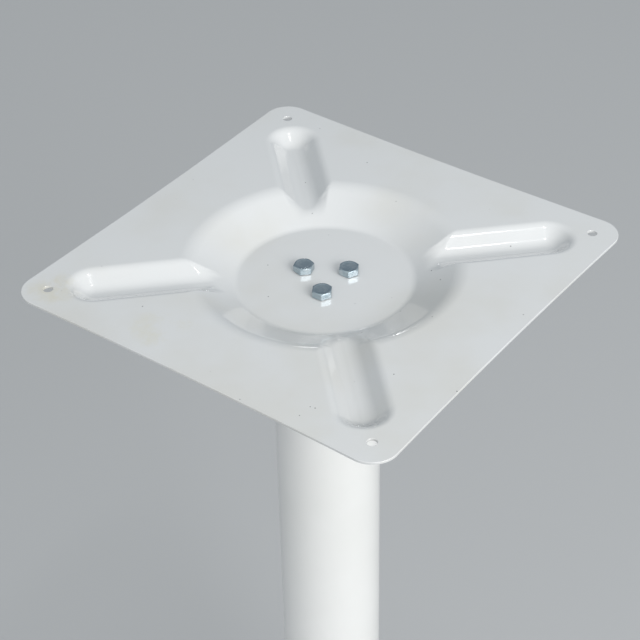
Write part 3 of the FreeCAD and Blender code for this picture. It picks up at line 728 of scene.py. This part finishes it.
def cover_paint():
    """The same paint on the foot, duller, with dust in patches and scuffs from shoes."""
    n = Nodes("cover_paint")
    n.set(Coat_Weight=0.4, Coat_Roughness=0.08, IOR=1.5)
    cloud = n.band(n.noise(6.0, 4.0), 0.40, 0.68)
    colour = n.blend(cloud, (0.79, 0.787, 0.775), (0.745, 0.738, 0.71))
    scuff = n.band(n.noise(55.0, 4.0, 0.6, stretch=(1.0, 0.22, 1.0)), 0.66, 0.74)
    colour = n.blend(n.math("MULTIPLY", scuff, 0.35), colour, (0.42, 0.41, 0.40))
    colour = n.blend(n.specks(14.0, 0.6, 0.30), colour, (0.18, 0.17, 0.16))
    dust = n.band(n.noise(90.0, 6.0, 0.7), 0.40, 0.72, 0.29, 0.38)
    rough = n.math("ADD", dust, n.math("MULTIPLY", scuff, 0.20))
    peel = n.bump(n.noise(240.0, 2.0), 0.05, 0.00008)
    return n.finish(colour, rough, n.bump(n.noise(1600.0, 2.0), 0.04, 0.00001, peel))


def zinc_plate():
    """Bright zinc with a blue passivate: cloudy colour and small pits."""
    n = Nodes("zinc_plate")
    n.set(Metallic=1.0)
    cloud = n.band(n.noise(200.0, 2.0), 0.35, 0.7)
    colour = n.blend(cloud, (0.42, 0.50, 0.545), (0.52, 0.585, 0.62))
    colour = n.blend(n.specks(1.3, 0.13, 0.25), colour, (0.26, 0.28, 0.29))
    rough = n.band(n.noise(150.0, 2.0), 0.3, 0.7, 0.17, 0.24)
    return n.finish(colour, rough, n.bump(n.noise(400.0, 2.0), 0.02, 0.00003))


def mill_steel():
    """Bare rolled steel: dull streaks along the rolling and a little rust."""
    n = Nodes("mill_steel")
    n.set(Metallic=1.0)
    streaks = n.noise(1500.0, 4.0, 0.6, stretch=(1.0, 0.05, 1.0))
    colour = n.blend(n.band(streaks, 0.35, 0.65), (0.33, 0.33, 0.33), (0.42, 0.415, 0.40))
    colour = n.blend(n.band(n.noise(50.0, 6.0, 0.7), 0.58, 0.72), colour, (0.26, 0.17, 0.11))
    rough = n.band(n.noise(300.0, 4.0), 0.3, 0.7, 0.34, 0.52)
    return n.finish(colour, rough, n.bump(streaks, 0.25, 0.00008))


def cast_iron():
    """Sand-cast iron under thin black paint, with rust coming through in spots."""
    n = Nodes("cast_iron")
    n.set(IOR=1.45)
    sand = n.noise(900.0, 6.0, 0.7)
    cloud = n.band(n.noise(24.0, 5.0), 0.4, 0.7)
    colour = n.blend(cloud, (0.030, 0.030, 0.032), (0.055, 0.052, 0.048))
    colour = n.blend(n.band(n.noise(90.0, 6.0, 0.7), 0.63, 0.75), colour, (0.13, 0.065, 0.035))
    rough = n.band(sand, 0.3, 0.7, 0.50, 0.72)
    coarse = n.bump(n.noise(120.0, 4.0), 0.35, 0.0006)
    return n.finish(colour, rough, n.bump(sand, 0.55, 0.0003, coarse))


def edge_trim():
    """Soft black vinyl with faint lines round it, as it was extruded."""
    n = Nodes("edge_trim")
    cloud = n.band(n.noise(20.0, 5.0), 0.4, 0.7)
    colour = n.blend(cloud, (0.018, 0.018, 0.019), (0.034, 0.033, 0.032))
    rough = n.band(n.noise(220.0, 4.0), 0.3, 0.7, 0.42, 0.58)
    lines = n.noise(700.0, 3.0, 0.5, stretch=(0.05, 0.05, 1.0))
    return n.finish(colour, rough, n.bump(lines, 0.25, 0.0001))


def glide_nylon():
    """Black moulded nylon, finely grained."""
    n = Nodes("glide_nylon")
    n.set(IOR=1.52)
    cloud = n.band(n.noise(60.0, 5.0), 0.4, 0.7)
    colour = n.blend(cloud, (0.022, 0.022, 0.023), (0.040, 0.039, 0.037))
    rough = n.band(n.noise(400.0, 4.0), 0.3, 0.7, 0.36, 0.55)
    return n.finish(colour, rough, n.bump(n.noise(1100.0, 3.0), 0.25, 0.00008))


MAKERS = (
    plate_paint, column_paint, cover_paint, zinc_plate, mill_steel, cast_iron, edge_trim, glide_nylon
)
MATERIALS = {maker.__name__: maker() for maker in MAKERS}


def dress_cad():
    """Gives each CAD node the material of its slot."""
    for entry in frame["record"]["subparts"]:
        materials = frame["nodes"][entry["node"]].data.materials
        materials.clear()
        materials.append(MATERIALS[entry["material_slot"]])


def finish_piece(piece, node, slot, body):
    """Puts a finished piece in its CAD node's stead, with the material of its slot."""
    piece.data.materials.append(MATERIALS[slot])
    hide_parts(node)
    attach(piece, body)


# ------------------------------------------------------------------ stage


def make_floor():
    """A plain grey floor, 18 m across."""
    mesh = bpy.data.meshes.new("floor")
    half = 9.0
    corners = [(-half, -half, 0), (half, -half, 0), (half, half, 0), (-half, half, 0)]
    mesh.from_pydata(corners, [], [(0, 1, 2, 3)])
    floor = bpy.data.objects.new("floor", mesh)
    bpy.context.scene.collection.objects.link(floor)
    n = Nodes("studio_floor")
    n.set(Base_Color=(0.47, 0.475, 0.48, 1.0), Roughness=0.75)
    mesh.materials.append(n.material)


def toward(azimuth, elevation):
    """Direction from the plate to a light, by its angle round from +X and its height, in degrees."""
    a, e = math.radians(azimuth), math.radians(elevation)
    return Vector((math.cos(a) * math.cos(e), math.sin(a) * math.cos(e), math.sin(e)))


def area_light(name, direction, distance, size, power):
    """A rectangular light, aimed at the plate from a distance in metres."""
    data = bpy.data.lights.new(name, "AREA")
    data.shape = "RECTANGLE"
    data.size, data.size_y = size
    data.energy = power
    lamp = bpy.data.objects.new(name, data)
    lamp.location = Vector((0.0, 0.0, PLATE_TOP * MM)) + direction * distance
    lamp.rotation_euler = (-direction).to_track_quat("-Z", "Y").to_euler()
    bpy.context.scene.collection.objects.link(lamp)


def make_lights():
    """A large soft key, a small light over it, and two slits that catch the dish's near rim."""
    area_light("key", toward(255, 28), distance=2.4, size=(1.8, 1.0), power=38.0)
    area_light("glint", toward(258, 67), distance=2.0, size=(0.30, 0.12), power=2.0)
    for number, azimuth in enumerate((36.5, 39.7), start=1):
        area_light(f"rim_{number}", toward(azimuth, 16), distance=2.2, size=(0.03, 0.08), power=0.07)
    bpy.context.scene.world = make_world()


def make_world():
    """A soft surround, pale on the key light's side and blue-grey on the other."""
    world = bpy.data.worlds.new("studio")
    world.use_nodes = True
    nodes, links = world.node_tree.nodes, world.node_tree.links
    direction = nodes.new("ShaderNodeTexCoord").outputs["Generated"]
    side = nodes.new("ShaderNodeVectorMath")
    side.operation = "DOT_PRODUCT"
    side.inputs[1].default_value = toward(235, 40)
    links.new(direction, side.inputs[0])
    ramp = nodes.new("ShaderNodeMapRange")
    ramp.interpolation_type = "SMOOTHSTEP"
    ramp.inputs["From Min"].default_value = -0.55
    ramp.inputs["From Max"].default_value = 0.75
    links.new(side.outputs["Value"], ramp.inputs["Value"])
    mix = nodes.new("ShaderNodeMix")
    mix.data_type = "RGBA"
    mix.inputs["A"].default_value = (0.23, 0.275, 0.32, 1)
    mix.inputs["B"].default_value = (0.92, 0.955, 0.97, 1)
    links.new(ramp.outputs["Result"], mix.inputs["Factor"])
    links.new(mix.outputs["Result"], nodes["Background"].inputs["Color"])
    nodes["Background"].inputs["Strength"].default_value = 0.90
    return world


# The camera looks down on the plate from beyond its -X -Y corner.
AZIMUTH = math.radians(-52.83)
ELEVATION = math.radians(37.91)
ROLL = math.radians(-1.24)
CAMERA_BACK = Vector((
    math.sin(AZIMUTH) * math.cos(ELEVATION),
    -math.cos(AZIMUTH) * math.cos(ELEVATION),
    math.sin(ELEVATION),
))
CAMERA_RIGHT = Vector((math.cos(AZIMUTH), math.sin(AZIMUTH), 0))
CAMERA_UP = CAMERA_BACK.cross(CAMERA_RIGHT)
CAMERA_TARGET = Vector((-54.4, -36.2, PLATE_TOP)) * MM
CAMERA_DISTANCE = 1.1398
LENS = 99.16
SENSOR = 36.0


def make_camera():
    """A long lens, rolled a little about its axis."""
    data = bpy.data.cameras.new("camera")
    data.lens = LENS
    data.sensor_width = SENSOR
    data.clip_end = 50.0
    camera = bpy.data.objects.new("camera", data)
    right = CAMERA_RIGHT * math.cos(ROLL) + CAMERA_UP * math.sin(ROLL)
    up = CAMERA_BACK.cross(right)
    turn = Matrix((right, up, CAMERA_BACK)).transposed().to_4x4()
    camera.matrix_world = Matrix.Translation(CAMERA_TARGET + CAMERA_BACK * CAMERA_DISTANCE) @ turn
    bpy.context.scene.collection.objects.link(camera)
    bpy.context.scene.camera = camera


dress_cad()
make_plate()
make_bolts()
make_glide_screws()
make_floor()
make_lights()
make_camera()
bpy.context.scene.view_settings.view_transform = "Standard"
